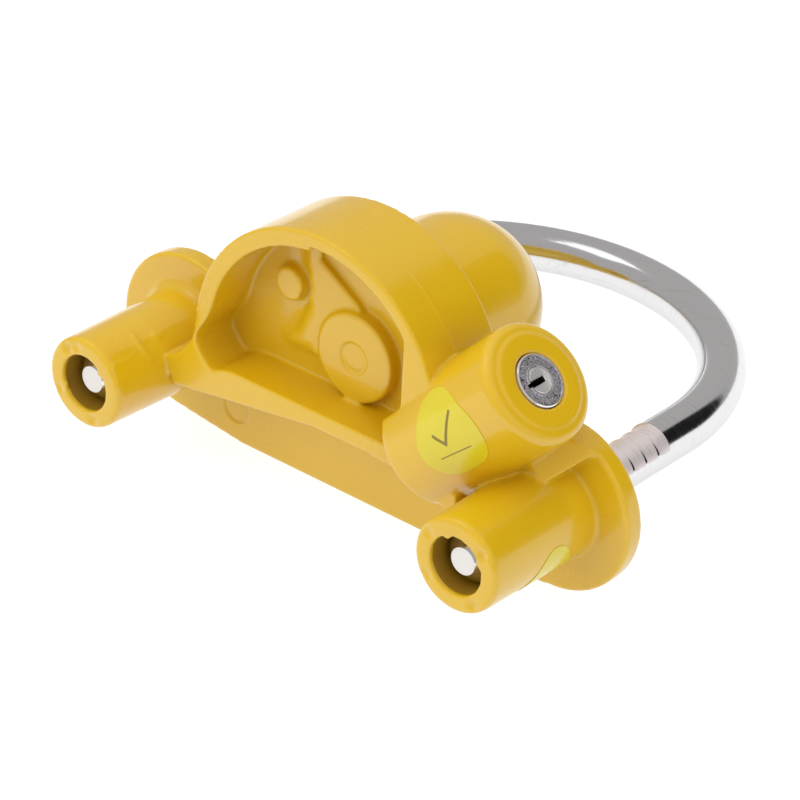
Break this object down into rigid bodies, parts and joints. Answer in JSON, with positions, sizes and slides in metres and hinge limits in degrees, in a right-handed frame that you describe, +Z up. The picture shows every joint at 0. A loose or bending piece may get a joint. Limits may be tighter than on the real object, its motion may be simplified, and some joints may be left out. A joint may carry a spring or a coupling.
{
  "type": "trailer coupler lock",
  "caption": "Cast coupler lock with a ball post, an arched cup and a key lock; a notched U shackle slides into its leg tubes and a pawl holds it.",
  "frame": {"origin": "on the ball post's axis, in the rear seating face of the body", "axes": "+Y along the ball post towards its dome and the shackle's bow, +X from the plain leg to the notched leg, +Z up, square to the plane of the shackle"},
  "size_m": [0.1642, 0.1532, 0.081],
  "materials": {
    "yellow_coat": "glossy yellow powder coat on a die casting",
    "shackle_chrome": "polished chrome with turned notches",
    "lock_chrome": "polished rims round a dark stippled ring",
    "plug_nickel": "plated, slightly worn at the keyway",
    "wafer_brass": "stamped brass",
    "bright_steel": "machined steel",
    "spring_steel": "oiled spring wire",
    "seal_rubber": "matte",
    "sticker_film": "translucent yellow film with a plain tick"
  },
  "bodies": {
    "root": {"lock_body": "yellow_coat", "lock_sleeve": "lock_chrome", "cylinder_pin": "bright_steel", "seal_ring": "seal_rubber", "bore_plug": "yellow_coat", "pawl_spring": "spring_steel", "housing_sticker": "sticker_film", "tube_sticker": "sticker_film"},
    "shackle": {"shackle": "shackle_chrome"},
    "plug": {"key_plug": "plug_nickel", "plug_clip": "spring_steel", "drive_cam": "bright_steel"},
    "wafers": {"wafer_1": "wafer_brass", "wafer_2": "wafer_brass", "wafer_3": "wafer_brass", "wafer_4": "wafer_brass", "wafer_5": "wafer_brass", "wafer_6": "wafer_brass", "wafer_7": "wafer_brass", "wafer_8": "wafer_brass"},
    "pawl": {"pawl": "bright_steel"}
  },
  "joints": [
    {"name": "shackle_slide", "type": "slide", "parent": "root", "child": "shackle", "axis": [0, 1, 0], "range_m": [-0.04, 0.045]},
    {"name": "key_turn", "type": "hinge", "parent": "root", "child": "plug", "pos_m": [0.06028, -0.0154, 0.01904], "axis": [-0.7071, 0, -0.7071], "range_deg": [0, 90]},
    {"name": "pawl_slide", "type": "slide", "parent": "root", "child": "pawl", "axis": [0.7071, 0, -0.7071], "range_m": [0, 0.00198]},
    {"name": "wafer_slide", "type": "slide", "parent": "plug", "child": "wafers", "axis": [0, 1, 0], "range_m": [0, 0.0005]}
  ],
  "couplings": [
    {"joint": "key_turn", "follows": "pawl_slide", "rad_per_m": 793.33}
  ]
}
